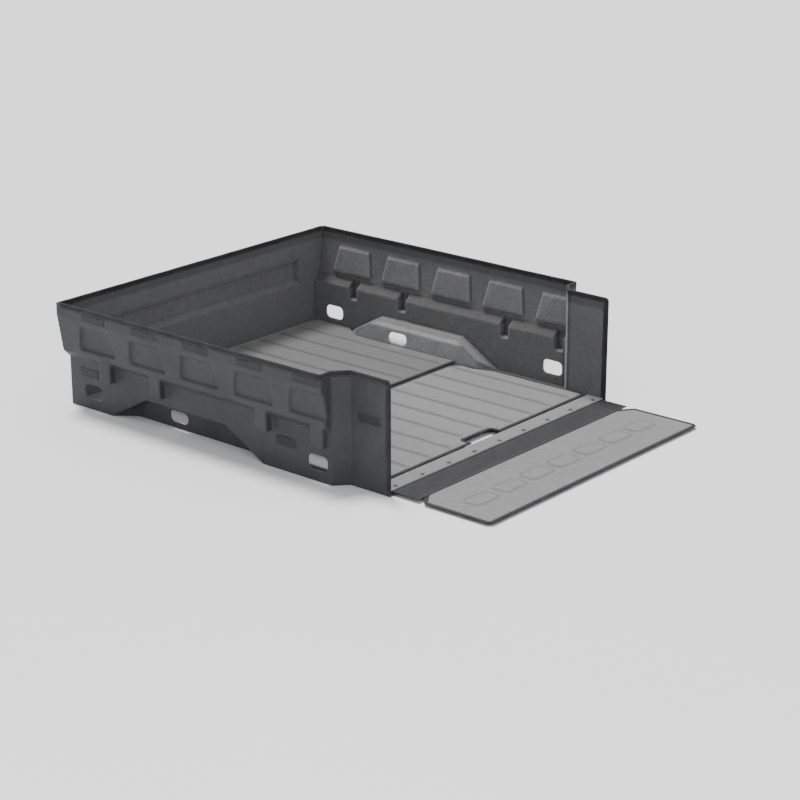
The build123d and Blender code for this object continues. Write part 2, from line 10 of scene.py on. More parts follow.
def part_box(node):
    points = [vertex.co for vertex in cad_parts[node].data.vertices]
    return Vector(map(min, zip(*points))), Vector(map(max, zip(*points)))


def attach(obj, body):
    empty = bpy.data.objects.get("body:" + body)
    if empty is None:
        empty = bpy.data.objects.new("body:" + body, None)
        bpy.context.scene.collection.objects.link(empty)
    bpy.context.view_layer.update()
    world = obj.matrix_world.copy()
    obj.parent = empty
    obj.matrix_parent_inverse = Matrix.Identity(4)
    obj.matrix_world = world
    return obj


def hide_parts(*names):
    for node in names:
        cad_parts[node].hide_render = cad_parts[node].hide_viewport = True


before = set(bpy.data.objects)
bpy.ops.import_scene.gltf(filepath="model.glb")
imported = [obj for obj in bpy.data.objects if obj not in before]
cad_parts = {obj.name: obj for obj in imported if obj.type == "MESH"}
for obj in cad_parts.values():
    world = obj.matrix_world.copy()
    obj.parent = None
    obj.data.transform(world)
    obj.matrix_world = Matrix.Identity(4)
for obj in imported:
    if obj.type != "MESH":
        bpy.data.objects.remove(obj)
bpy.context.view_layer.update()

# A moulded, foam-backed carpet liner for a five-foot pickup truck bed, out of the truck.
# Lengths are in metres, in the CAD frame: +X is the truck's right, +Y points to the cab, +Z is up.
# Distances "along the bed" are measured from the sill's rear edge, which is at Y = REAR.

MM = 0.001
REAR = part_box("right_side_panel")[0].y
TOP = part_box("right_side_panel")[1].z
CARPET_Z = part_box("trunk_lid_mat")[0].z        # underside of the floor carpets
GATE_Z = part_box("tailgate_mat")[0].z
PANEL = 7 * MM                                 # thickness of a moulded panel
EDGE = 2 * MM                                  # thickness of a carpet's pressed edge
CARPET = 4.2 * MM
RIB = 3.4 * MM                                 # how far the floor's ribs rise above the carpet
RIB_PITCH, RIB_COUNT = 124 * MM, 9
TAPE = 1.4 * MM
MAT_TAPE_WIDTH, WALL_TAPE_WIDTH = 14 * MM, 19 * MM
STITCH_PITCH, STITCH_LENGTH, STITCH_R = 7 * MM, 5 * MM, 0.55 * MM

# Side panel, in millimetres.
WALL_LINE = ((0, 700), (200, 700), (228, 732), (378, 757), (430, 757))    # (height, half width)
HUMP_LINE = ((560, 0), (750, 112), (1190, 112), (1380, 0))                # (along the bed, height)
PILLAR_FACE, PILLAR_STEP, PILLAR_SLANT = 653.5, 703.5, (186.5, 231.5)     # middle of the panel
TOP_LINE, PANEL_FRONT = 760.5, 1602

# Panel faces beyond these are the returns behind the bulkhead.
RETURN_X, RETURN_Y = 640 * MM, 1598 * MM

# Top edge of the bulkhead panel, in millimetres: its place along the bed and its half length.
BULKHEAD_PLACE, BULKHEAD_HALF = 1593.5, 753


# ---- mesh helpers -------------------------------------------------------------------------------
def link(name, mesh):
    """A new object for the mesh, in the scene."""
    obj = bpy.data.objects.new(name, mesh)
    bpy.context.scene.collection.objects.link(obj)
    return obj


def make(name, verts, faces, material, smooth=True):
    """A new piece from vertex positions and faces, with every face turned outwards."""
    mesh = bpy.data.meshes.new(name)
    mesh.from_pydata(np.asarray(verts).tolist(), [], faces)
    mesh.materials.append(material)
    mesh.polygons.foreach_set("use_smooth", [smooth] * len(mesh.polygons))
    mesh.update()
    obj = link(name, mesh)
    bm = bmesh.new()
    bm.from_mesh(mesh)
    bmesh.ops.recalc_face_normals(bm, faces=bm.faces)
    bm.to_mesh(mesh)
    bm.free()
    return obj


def bake(obj):
    """Puts the result of the piece's modifiers into its mesh."""
    graph = bpy.context.evaluated_depsgraph_get()
    mesh = bpy.data.meshes.new_from_object(obj.evaluated_get(graph))
    obj.modifiers.clear()
    obj.data = mesh
    return obj


def modify(obj, kind, **settings):
    """Adds a modifier with these settings."""
    modifier = obj.modifiers.new(kind.lower(), kind)
    for key, value in settings.items():
        setattr(modifier, key, value)
    return modifier


def points_of(mesh):
    """The mesh's vertices, as rows of x, y and z."""
    flat = np.empty(len(mesh.vertices) * 3, np.float32)
    mesh.vertices.foreach_get("co", flat)
    return flat.reshape(-1, 3).astype(float)


def move_points(mesh, points):
    """Gives the mesh's vertices new places."""
    mesh.vertices.foreach_set("co", np.asarray(points, np.float32).ravel())
    mesh.update()


def mark(mesh, name, values):
    """Stores one number per point, for the mesh's material to read."""
    layer = mesh.attributes.new(name, "FLOAT", "POINT")
    layer.data.foreach_set("value", np.asarray(values, np.float32))


def hollows(mesh, rounds=5):
    """How far each point lies below the smoothed surface round it; above it is negative."""
    points = points_of(mesh)
    edges = np.empty(len(mesh.edges) * 2, np.int32)
    mesh.edges.foreach_get("vertices", edges)
    a, b = edges.reshape(-1, 2).T
    count = np.bincount(edges, minlength=len(points))[:, None]
    smooth = points.copy()
    for _ in range(rounds):
        total = np.zeros_like(smooth)
        np.add.at(total, a, smooth[b])
        np.add.at(total, b, smooth[a])
        smooth = total / np.maximum(count, 1)
    normal = np.empty(len(points) * 3, np.float32)
    mesh.vertices.foreach_get("normal", normal)
    return np.einsum("ij,ij->i", smooth - points, normal.reshape(-1, 3))


def place(obj, body, slot, *nodes):
    """The piece rides on the body and stands for the nodes, which are hidden. slot is not used."""
    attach(obj, body)
    if nodes:
        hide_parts(*nodes)
    return obj


def waves(seed, size, count=9):
    """A smooth seeded relief over points, about -1 to 1, with waves of about that size."""
    rng = np.random.default_rng(seed)
    turns = rng.normal(size=(count, 3))
    turns /= np.linalg.norm(turns, axis=1, keepdims=True)
    turns *= 2 * math.pi / size * rng.uniform(0.6, 1.7, (count, 1))
    phase = rng.uniform(0, 2 * math.pi, count)
    return lambda points: np.sin(np.asarray(points) @ turns.T + phase).sum(axis=1) / math.sqrt(count)


def line(pairs):
    """The two rows that np.interp takes, in metres, from (position, value) pairs in millimetres."""
    return np.array(pairs).T * MM


def smoothstep(low, high, value):
    """0 before low and 1 after high, with a soft change between; low may be the larger one."""
    t = np.clip((np.asarray(value, float) - low) / (high - low), 0, 1)
    return t * t * (3 - 2 * t)


def band(value, rise, fall):
    """1 between two soft edges, which are given as (start, end) in millimetres."""
    risen = smoothstep(rise[0] * MM, rise[1] * MM, value)
    return risen * smoothstep(fall[1] * MM, fall[0] * MM, value)


# ---- materials ----------------------------------------------------------------------------------
class Nodes:
    """A material's node tree, with short ways to add and join nodes."""

    def __init__(self, name, roughness, **sockets):
        self.material = bpy.data.materials.new(name)
        self.material.use_nodes = True
        self.tree = self.material.node_tree
        self.shader = self.tree.nodes["Principled BSDF"]
        self.shader.inputs["Roughness"].default_value = roughness
        for key, value in sockets.items():
            self.shader.inputs[key.replace("_", " ")].default_value = value
        self.place = self.add("ShaderNodeTexCoord").outputs["Object"]

    def add(self, kind, **settings):
        node = self.tree.nodes.new(kind)
        for key, value in settings.items():
            setattr(node, key, value)
        return node

    def join(self, source, target):
        self.tree.links.new(source, target)

    def stretched(self, scale):
        mapping = self.add("ShaderNodeMapping")
        mapping.inputs["Scale"].default_value = scale
        self.join(self.place, mapping.inputs["Vector"])
        return mapping.outputs["Vector"]

    def noise(self, size, detail=2.0, rough=0.5, where=None):
        """Noise with features of about that size in metres."""
        node = self.add("ShaderNodeTexNoise")
        node.inputs["Scale"].default_value = 1 / size
        node.inputs["Detail"].default_value = detail
        node.inputs["Roughness"].default_value = rough
        self.join(where or self.place, node.inputs["Vector"])
        return node.outputs["Fac"]

    def cells(self, size, where=None):
        """Distance from the middles of cells of about that size in metres."""
        node = self.add("ShaderNodeTexVoronoi")
        node.inputs["Scale"].default_value = 1 / size
        self.join(where or self.place, node.inputs["Vector"])
        return node.outputs["Distance"]

    def ramp(self, value, low, high):
        """The value spread from 0 at low to 1 at high."""
        node = self.add("ShaderNodeMapRange")
        node.inputs["From Min"].default_value = low
        node.inputs["From Max"].default_value = high
        self.join(value, node.inputs["Value"])
        return node.outputs["Result"]

    def maths(self, operation, a, b):
        node = self.add("ShaderNodeMath", operation=operation)
        for socket, value in zip(node.inputs, (a, b)):
            if isinstance(value, (int, float)):
                socket.default_value = value
            else:
                self.join(value, socket)
        return node.outputs["Value"]

    def mix(self, factor, a, b):
        """Colour a where the factor is 0 and b where it is 1."""
        node = self.add("ShaderNodeMix", data_type="RGBA")
        if isinstance(factor, float):
            node.inputs["Factor"].default_value = factor
        else:
            self.join(factor, node.inputs["Factor"])
        for socket, value in ((node.inputs[6], a), (node.inputs[7], b)):
            if isinstance(value, tuple):
                socket.default_value = (*value, 1)
            else:
                self.join(value, socket)
        return node.outputs[2]

    def colour(self, value):
        self.join(value, self.shader.inputs["Base Color"])

    def bump(self, *layers):
        """Bumps from (height, distance in metres) layers, one on another."""
        last = None
        for height, distance in layers:
            node = self.add("ShaderNodeBump")
            node.inputs["Distance"].default_value = distance
            self.join(height, node.inputs["Height"])
            if last:
                self.join(last, node.inputs["Normal"])
            last = node.outputs["Normal"]
        self.join(last, self.shader.inputs["Normal"])


def shade(colour, factor):
    """The colour made paler (factor above 1) or darker (below 1)."""
    return tuple(c * factor for c in colour)


def carpet(name, base):
    """Needle-punched polyester carpet: short matted fibres of mixed greys, brushed in patches.

    It gets painted shade where a point attribute marks hollows, and turns paler where one marks
    crests, partly as wear and partly as a painted highlight.
    The attribute "tone" paints light on it above 0 and shade below 0.
    """
    n = Nodes(name, 0.97, Sheen_Weight=0.3, Sheen_Roughness=0.6, Specular_IOR_Level=0.1)
    fibres = n.noise(1.3 * MM, 3, 0.7)
    clumps = n.noise(5.5 * MM, 3, 0.6)
    tufts = n.noise(13 * MM, 3, 0.6)
    mottle = n.noise(48 * MM, 4, 0.6)
    brushed = n.noise(0.20, 3, 0.6, where=n.stretched((1.0, 0.35, 1.0)))
    tone = n.mix(n.ramp(fibres, 0.34, 0.66), shade(base, 0.60), shade(base, 1.40))
    layers = (
        (0.5, clumps, 0.3, 0.32), (0.5, tufts, 0.32, 0.38), (0.16, mottle, 0.32, 0.28),
        (0.14, brushed, 0.35, 0.25),
    )
    for share, value, low, swing in layers:
        shades = n.mix(n.ramp(value, low, 1 - low), shade(base, 1 - swing), shade(base, 1 + swing))
        tone = n.mix(share, tone, shades)
    lint = n.maths("LESS_THAN", n.cells(9 * MM), 0.045)
    tone = n.mix(n.maths("MULTIPLY", lint, 0.5), tone, shade(base, 2.3))
    painted_hollow_shade = n.add("ShaderNodeAttribute", attribute_name="painted_hollow_shade").outputs["Fac"]
    wear_and_highlight = n.add("ShaderNodeAttribute", attribute_name="wear_and_highlight").outputs["Fac"]
    patchy = n.ramp(clumps, 0.15, 0.65)
    # Painted shade in hollows; paler crests, partly wear and partly a painted highlight.
    tone = n.mix(n.maths("MULTIPLY", painted_hollow_shade, 0.62), tone, shade(base, 0.30))
    tone = n.mix(n.maths("MULTIPLY", n.maths("MULTIPLY", wear_and_highlight, patchy), 0.5), tone, shade(base, 1.85))
    # Painted light and painted shade from the "tone" attribute, which the walls carry.
    painted_light = n.add("ShaderNodeAttribute", attribute_name="tone").outputs["Fac"]
    scaled = n.add("ShaderNodeVectorMath", operation="SCALE")
    n.join(tone, scaled.inputs["Vector"])
    n.join(n.maths("ADD", painted_light, 1.0), scaled.inputs["Scale"])
    n.colour(scaled.outputs["Vector"])
    n.bump((mottle, 1.2 * MM), (tufts, 1.8 * MM), (clumps, 1.5 * MM), (fibres, 1.0 * MM))
    return n.material


def foam(name, base):
    """Closed-cell foam: a dark skin with fine pores, moulding creases and rubbed light patches."""
    n = Nodes(name, 0.74, Specular_IOR_Level=0.35)
    pores = n.cells(1.8 * MM)
    skin = n.noise(8 * MM, 4, 0.65)
    creases = n.noise(26 * MM, 5, 0.7)
    flow = n.noise(0.13, 4, 0.6)
    tone = n.mix(n.ramp(skin, 0.3, 0.7), shade(base, 0.72), shade(base, 1.3))
    tone = n.mix(0.4, tone, n.mix(n.ramp(creases, 0.35, 0.65), shade(base, 0.7), shade(base, 1.35)))
    tone = n.mix(0.4, tone, n.mix(n.ramp(flow, 0.35, 0.65), shade(base, 0.75), shade(base, 1.45)))
    n.colour(tone)
    n.join(n.ramp(creases, -1.3, 2.0), n.shader.inputs["Roughness"])
    n.bump((creases, 2.2 * MM), (skin, 1.0 * MM), (pores, 0.5 * MM))
    return n.material


def webbing(name, base):
    """Woven polyester tape, with a fine twill."""
    n = Nodes(name, 0.9, Sheen_Weight=0.08, Sheen_Roughness=0.5, Specular_IOR_Level=0.12)
    yarns = n.cells(1.1 * MM, where=n.stretched((1.0, 1.0, 1.6)))
    fuzz = n.noise(2.5 * MM, 3, 0.6)
    wear_and_highlight = n.noise(60 * MM, 3, 0.5)
    tone = n.mix(n.ramp(yarns, 0.05, 0.6), shade(base, 1.5), shade(base, 0.55))
    n.colour(n.mix(n.ramp(wear_and_highlight, 0.3, 0.75), tone, shade(base, 1.35)))
    n.bump((fuzz, 0.4 * MM), (yarns, 0.5 * MM))
    return n.material


def hook_tape(name, base):
    """Moulded hook tape: rows of tiny hooks, each with a painted highlight."""
    n = Nodes(name, 0.5, Specular_IOR_Level=0.45)
    hooks = n.cells(1.3 * MM)
    patch = n.noise(14 * MM, 2, 0.5)
    # Painted highlight at each hook, darker between them.
    tone = n.mix(n.ramp(hooks, 0.1, 0.55), shade(base, 2.2), shade(base, 0.5))
    n.colour(n.mix(n.ramp(patch, 0.35, 0.7), tone, base))
    n.bump((hooks, 1.0 * MM), (n.noise(0.8 * MM), 0.4 * MM))
    return n.material


def rubber(name, base):
    """Ribbed rubber with a dusty bloom."""
    n = Nodes(name, 0.8, Specular_IOR_Level=0.2)
    dust = n.noise(30 * MM, 5, 0.7)
    grain = n.noise(1.5 * MM, 3, 0.6)
    n.colour(n.mix(n.ramp(dust, 0.3, 0.8), base, shade(base, 1.7)))
    n.join(n.ramp(dust, -3.0, 1.2), n.shader.inputs["Roughness"])
    n.bump((grain, 0.25 * MM), (n.noise(18 * MM), 0.4 * MM))
    return n.material


def plastic(name, base):
    """Black moulded plastic with a fine spark-eroded grain."""
    n = Nodes(name, 0.45, Specular_IOR_Level=0.5)
    grain = n.noise(0.6 * MM, 2, 0.5)
    n.colour(n.mix(n.ramp(n.noise(12 * MM, 3), 0.3, 0.7), base, shade(base, 1.6)))
    n.bump((grain, 0.12 * MM))
    return n.material


def thread(name, base):
    """Twisted sewing thread."""
    n = Nodes(name, 0.65, Sheen_Weight=0.3, Sheen_Roughness=0.4)
    twist = n.noise(1.2 * MM, 2, 0.5, where=n.stretched((1.0, 1.0, 3.0)))
    n.colour(n.mix(n.ramp(twist, 0.3, 0.7), shade(base, 0.7), shade(base, 1.3)))
    n.bump((twist, 0.3 * MM))
    return n.material


FLOOR_CARPET = carpet("floor_carpet", (0.168, 0.168, 0.171))
# A darker copy of the floor carpet for the front floor: painted shade, as if shaded by the bulkhead
# and walls.
FRONT_CARPET_PAINTED_SHADE = carpet("front_floor_carpet", (0.106, 0.106, 0.105))
# A darker copy of the floor carpet for the walls: painted shade on the upright faces.
WALL_CARPET_PAINTED_SHADE = carpet("wall_carpet", (0.107, 0.107, 0.110))
FOAM = foam("closed_cell_foam", (0.036, 0.037, 0.040))
BACKING = carpet("carpet_backing", (0.085, 0.085, 0.090))
BINDING = webbing("binding_webbing", (0.030, 0.030, 0.032))
HOOKS = hook_tape("hook_tape", (0.018, 0.018, 0.020))
RUBBER = rubber("flap_rubber", (0.032, 0.032, 0.034))
PLASTIC = plastic("rivet_plastic", (0.014, 0.014, 0.015))
THREAD = thread("sewing_thread", (0.14, 0.14, 0.15))


# ---- moulded wall panels ------------------------------------------------------------------------
VOXEL, SMOOTHING_ROUNDS, FACES_KEPT = 3.6 * MM, 9, 0.45
CREASE_FROM, CREASE_TO = 0.15 * MM, 1.2 * MM      # hollows this deep get painted shade, and crests this high turn paler: wear and a painted highlight
SPREAD_ROUNDS = 60                                # for the faces that look neither in nor out
RELIEF_END = 1560 * MM                            # the side panels' waviness ends here
# Painted light (above 0) and painted shade (below 0) on parts of the walls: the hump's inner face, the
# bolsters, the shoulder, a painted shadow along the top, and the pillar's edge.
HUMP_PAINTED_LIGHT, BOLSTER_PAINTED_HIGHLIGHT, SHOULDER_PAINTED_SHADE, TOP_PAINTED_SHADOW, PILLAR_PAINTED_SHADE = 1.35, 0.3, -0.42, -0.4, -0.55


def neighbour_sum(mesh, label):
    """For each face, the sum of the labels of the faces beside it."""
    edge = np.empty(len(mesh.loops), np.int32)
    mesh.loops.foreach_get("edge_index", edge)
    total = np.empty(len(mesh.polygons), np.int32)
    mesh.polygons.foreach_get("loop_total", total)
    owner = np.repeat(np.arange(len(total)), total)
    order = np.argsort(edge, kind="stable")
    same = edge[order][1:] == edge[order][:-1]
    a, b = owner[order][:-1][same], owner[order][1:][same]
    result = np.zeros(len(total))
    np.add.at(result, a, label[b])
    np.add.at(result, b, label[a])
    return result


def colour_faces(mesh, inward):
    """Gives the second material to the faces away from the cargo, and to the returns."""
    normal = np.empty(len(mesh.polygons) * 3, np.float32)
    mesh.polygons.foreach_get("normal", normal)
    facing = normal.reshape(-1, 3) @ np.array(Vector(inward).normalized())
    label = np.where(facing > 0.3, 1, np.where(facing < -0.3, -1, 0))
    unsure = label == 0
    for _ in range(SPREAD_ROUNDS):
        around = neighbour_sum(mesh, label)
        label = np.where(unsure & (label == 0), np.sign(around).astype(int), label)
    centre = np.empty(len(mesh.polygons) * 3, np.float32)
    mesh.polygons.foreach_get("center", centre)
    label[(centre[1::3] > REAR + RETURN_Y) & (np.abs(centre[::3]) > RETURN_X)] = -1
    mesh.polygons.foreach_set("material_index", (label < 0).astype(np.int32))


def wall_painted_light(points):
    """How much painted light (above 0) or painted shade (below 0) a wall's carpet gets, by region."""
    x, y, z = np.abs(points[:, 0]), points[:, 1] - REAR, points[:, 2]
    hump_top = np.interp(y, *line(HUMP_LINE))
    hump = smoothstep(-2 * MM, 22 * MM, hump_top - z) * smoothstep(702 * MM, 694 * MM, x)
    wall = np.interp(z, *line(WALL_LINE))
    inside = band(y, (236, 246), (1584, 1588))
    bolster = smoothstep(3 * MM, 9 * MM, wall - x) * band(z, (242, 256), (354, 368)) * inside
    shoulder = band(z, (192, 204), (226, 238)) * inside
    top = smoothstep(374 * MM, 388 * MM, z)
    pillar_edge = band(y, (172, 184), (238, 250))
    # Painted light on the hump and bolsters; painted shade on the shoulder and the pillar's edge; a
    # painted shadow along the top.
    tone = HUMP_PAINTED_LIGHT * hump + BOLSTER_PAINTED_HIGHLIGHT * bolster + SHOULDER_PAINTED_SHADE * shoulder
    return tone + TOP_PAINTED_SHADOW * top + PILLAR_PAINTED_SHADE * pillar_edge


def moulded(node, front, inward, relief):
    """The node's own shape with its edges rounded by moulding, carpet in front and foam behind."""
    obj = link(node + "_moulded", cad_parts[node].data.copy())
    modify(obj, "WELD", merge_threshold=1e-5)
    modify(obj, "REMESH", mode="VOXEL", voxel_size=VOXEL, adaptivity=0.0, use_smooth_shade=True)
    modify(obj, "SMOOTH", factor=0.5, iterations=SMOOTHING_ROUNDS)
    bake(obj)
    modify(obj, "DECIMATE", ratio=FACES_KEPT)
    bake(obj)
    mesh = obj.data
    mesh.materials.clear()
    mesh.materials.append(front)
    mesh.materials.append(FOAM)
    colour_faces(mesh, inward)
    points = points_of(mesh)
    points += relief(points)
    points[:, 2] = np.maximum(points[:, 2], 0)
    move_points(mesh, points)
    hollow = hollows(mesh)
    # Painted shade in the hollows, paler crests (wear and a painted highlight), and painted light and
    # shade by region.
    mark(mesh, "painted_hollow_shade", smoothstep(CREASE_FROM, CREASE_TO, hollow))
    mark(mesh, "wear_and_highlight", smoothstep(CREASE_FROM, CREASE_TO, -hollow))
    mark(mesh, "tone", wall_painted_light(points))
    mesh.polygons.foreach_set("use_smooth", [True] * len(mesh.polygons))
    return place(obj, "tub", "wall_carpet", node)


def sideways_relief(seed):
    """The slight waviness of a side panel, across the bed; it fades at the panel's ends."""
    large, small = waves(seed, 320 * MM), waves(seed + 1, 90 * MM)

    def relief(points):
        flat = points * (0, 1, 1)
        size = 1.3 * MM * large(flat) + 0.45 * MM * small(flat)
        size *= smoothstep(0, 60 * MM, points[:, 1] - REAR)
        size *= smoothstep(0, 60 * MM, REAR + RELIEF_END - points[:, 1])
        size *= smoothstep(0, 30 * MM, points[:, 2])
        return np.outer(size, (1, 0, 0))

    return relief


def bulkhead_relief(points):
    """The slight waviness of the bulkhead panel, towards the cargo; it fades at the panel's ends."""
    large, small = waves(31, 300 * MM), waves(32, 85 * MM)
    flat = points * (1, 0, 1)
    size = 1.0 * MM * large(flat) + 0.4 * MM * small(flat)
    size *= smoothstep(0, 40 * MM, 740 * MM - np.abs(points[:, 0]))
    size *= smoothstep(0, 30 * MM, points[:, 2])
    return np.outer(-np.abs(size), (0, 1, 0))


# ---- plan outlines ------------------------------------------------------------------------------
FEWEST_ARC_POINTS = 5


def rounded(corners, step=9 * MM):
    """Points along a closed path with rounded corners, from (x, y, radius) in millimetres."""
    spots = [np.array(c[:2]) * MM for c in corners]
    arcs = []
    for i, corner in enumerate(corners):
        here, back, ahead = spots[i], spots[i - 1], spots[(i + 1) % len(spots)]
        u, v = (back - here), (ahead - here)
        u, v = u / np.linalg.norm(u), v / np.linalg.norm(v)
        half = math.acos(np.clip(u @ v, -1, 1)) / 2
        radius = corner[2] * MM
        reach = radius / math.tan(half)
        centre = here + (u + v) / np.linalg.norm(u + v) * radius / math.sin(half)
        start, end = here + u * reach - centre, here + v * reach - centre
        turn = math.atan2(start[0] * end[1] - start[1] * end[0], start @ end)
        count = max(FEWEST_ARC_POINTS, int(abs(turn) * radius / (0.5 * step)) + 2)
        angles = np.linspace(0, turn, count)
        arcs.append(np.array([centre + turned(start, a) for a in angles]))
    path = []
    for i, arc in enumerate(arcs):
        path.extend(arc)
        following = arcs[(i + 1) % len(arcs)][0]
        gap = np.linalg.norm(following - arc[-1])
        count = int(gap / step)
        path.extend(arc[-1] + (following - arc[-1]) * (j + 1) / (count + 1) for j in range(count))
    return np.array(path)


def turned(vector, angle):
    """A plan vector turned anticlockwise."""
    c, s = math.cos(angle), math.sin(angle)
    return np.array([c * vector[0] - s * vector[1], s * vector[0] + c * vector[1]])


def both_sides(right):
    """A closed symmetric outline from its right-hand corners, rear to front, anticlockwise."""
    return right + [(-x, y, r) for x, y, r in reversed(right)]


def edge_distance(points, path):
    """How far each point is from a closed path."""
    nearest = np.full(len(points), np.inf)
    for a, b in zip(path, np.roll(path, -1, axis=0)):
        run = b - a
        t = np.clip((points - a) @ run / max(run @ run, 1e-12), 0, 1)
        away = np.linalg.norm(points - a - t[:, None] * run, axis=1)
        np.minimum(nearest, away, out=nearest)
    return nearest


# ---- floor carpets ------------------------------------------------------------------------------
def rib_height(x):
    """0 to 1 over the padded ribs, which run along the bed, with soft valleys between them."""
    half = (RIB_COUNT / 2) * RIB_PITCH
    away = np.abs((x + half) % RIB_PITCH - RIB_PITCH / 2)
    shoulder = smoothstep(0, 13 * MM, RIB_PITCH / 2 - 5 * MM - away)
    crown = 1 - (away / (RIB_PITCH / 2)) ** 2
    return shoulder * (0.72 + 0.28 * crown) * (np.abs(x) < half)


def rib_columns(limit):
    """X stations that are closer together where the ribs rise."""
    near_valley = (-22, -17.5, -14, -11, -8, -5, 0, 5, 8, 11, 14, 17.5, 22)
    on_rib = (-30, -20, -10, 0, 10, 20, 30)
    stations = []
    for i in range(RIB_COUNT + 1):
        valley = (i - RIB_COUNT / 2) * RIB_PITCH
        stations += [valley + d * MM for d in near_valley]
    for i in range(RIB_COUNT):
        middle = (i - (RIB_COUNT - 1) / 2) * RIB_PITCH
        stations += [middle + d * MM for d in on_rib]
    outer = np.arange(RIB_COUNT / 2 * RIB_PITCH + 30 * MM, limit, 8 * MM)
    return np.unique(np.round(np.concatenate([stations, outer, -outer]), 5))


def laid_mat(name, path, base, columns, row_step, height, material, body, node, seed):
    """A carpet inside a plan path, with a relief on top and a flat underside.

    height(x, y, inset) gives its thickness and how much painted shade its hollows get; y is along the
    bed, and inset is the distance to the edge.
    """
    low, high = path.min(axis=0), path.max(axis=0)
    rows = np.arange(low[1] + 3 * MM, high[1], row_step)
    grid = np.array([(x, y) for y in rows for x in columns if low[0] < x < high[0]])
    grid = grid[edge_distance(grid, path) > 3.2 * MM]
    rim = len(path)
    loop = list(range(rim))
    start = [Vector(p) for p in path] + [Vector(p) for p in grid]
    flat, _, faces, *_ = delaunay_2d_cdt(start, [], [loop], 1, 1e-7)
    flat = np.array([tuple(p) for p in flat])
    faces = np.array([list(f) for f in faces])
    inset = edge_distance(flat, path)
    thick, painted_hollow_shade = height(flat[:, 0], flat[:, 1], inset)
    level = np.c_[flat, np.zeros(len(flat))]
    lift = 0.55 * waves(seed, 150 * MM)(level) + 0.22 * waves(seed + 1, 38 * MM)(level)
    lift *= MM * smoothstep(12 * MM, 50 * MM, inset)
    top = np.c_[flat[:, 0], flat[:, 1] + REAR, base + thick + lift]
    under = np.c_[flat[:, 0], flat[:, 1] + REAR, np.full(len(flat), base)]
    count = len(flat)
    sides = [(i, count + i, count + (i + 1) % rim, (i + 1) % rim) for i in loop]
    quads = [tuple(f) for f in faces] + [tuple(f[::-1] + count) for f in faces]
    mesh = bpy.data.meshes.new(name)
    polygons = [tuple(map(int, q)) for q in quads + sides]
    mesh.from_pydata(np.vstack([top, under]).tolist(), [], polygons)
    for m in (material, BACKING):
        mesh.materials.append(m)
    below = [0] * len(faces) + [1] * len(faces) + [0] * rim
    mesh.polygons.foreach_set("material_index", below)
    mesh.polygons.foreach_set("use_smooth", [True] * len(faces) * 2 + [False] * rim)
    mesh.validate()
    mesh.update()
    # Painted shade in the carpet's valleys, grooves and dips.
    mark(mesh, "painted_hollow_shade", np.r_[painted_hollow_shade, np.zeros(count)])
    obj = place(link(name, mesh), body, "floor_carpet", node)
    return obj


RIVET_PITCH, RIVET_ROW, RIVET_COUNT = 150 * MM, 22 * MM, 9
RIB_INSET = 20 * MM, 34 * MM                 # the ribs rise between these distances from the edge


def floor_height(x, _, inset):
    """The thickness of a floor carpet: a pressed edge and ribs, with painted shade in the valleys
    between them.
    """
    body = smoothstep(13 * MM, 20 * MM, inset) * (CARPET - EDGE)
    field = smoothstep(*RIB_INSET, inset)
    ribs = rib_height(x) * field
    within = np.abs(x) < (RIB_COUNT / 2 + 0.1) * RIB_PITCH
    valley = smoothstep(0.6, 0.05, rib_height(x)) * within * (0.35 + 0.65 * field)
    return EDGE + body + ribs * RIB, valley


BAR_RISE = 2.8 * MM
BAR_COUNT, BAR_PITCH, BAR_ROW = 7, 162 * MM, -275.5 * MM
BAR_HALF_LENGTH, BAR_HALF_WIDTH, BAR_RADIUS = 59 * MM, 32 * MM, 18 * MM


def bar_distance(x, y):
    """How far outside the nearest plain grip bar of the tailgate mat a point is."""
    last = (BAR_COUNT - 1) // 2
    index = np.clip(np.round(x / BAR_PITCH), -last, last)
    dx = np.abs(x - index * BAR_PITCH) - (BAR_HALF_LENGTH - BAR_RADIUS)
    dy = np.abs(y - BAR_ROW) - (BAR_HALF_WIDTH - BAR_RADIUS)
    outside = np.hypot(np.maximum(dx, 0), np.maximum(dy, 0))
    return outside + np.minimum(np.maximum(dx, dy), 0) - BAR_RADIUS


def gate_height(x, y, inset):
    """The tailgate mat's thickness: a pressed edge, a raised field, and bars in pressed outlines with
    painted shade in them.
    """
    body = smoothstep(13 * MM, 24 * MM, inset) * (CARPET - EDGE)
    away = bar_distance(x, y)
    bars = smoothstep(-5 * MM, 5 * MM, -away) * BAR_RISE
    groove = np.exp(-((away - 6 * MM) / (4.5 * MM)) ** 2)
    return EDGE + body + bars - groove * 1.4 * MM, groove * 0.9


def sill_height(x, y, inset):
    """The sill strip's thickness, pulled down a little round each rivet, with painted shade in each
    dip.
    """
    away = np.abs((x / RIVET_PITCH + 0.5) % 1 - 0.5) * RIVET_PITCH
    dimple = np.exp(-(away ** 2 + (y - RIVET_ROW) ** 2) / (13 * MM) ** 2)
    return 2.4 * MM + smoothstep(0, 6 * MM, inset) * 1.5 * MM - dimple * 0.9 * MM, dimple * 0.6


# ---- binding tape and stitches ------------------------------------------------------------------
def tangents(path, closed):
    """The direction along a path at each of its points."""
    if closed:
        run = np.roll(path, -1, axis=0) - np.roll(path, 1, axis=0)
    else:
        run = np.gradient(path, axis=0)
    return run / np.linalg.norm(run, axis=1, keepdims=True)


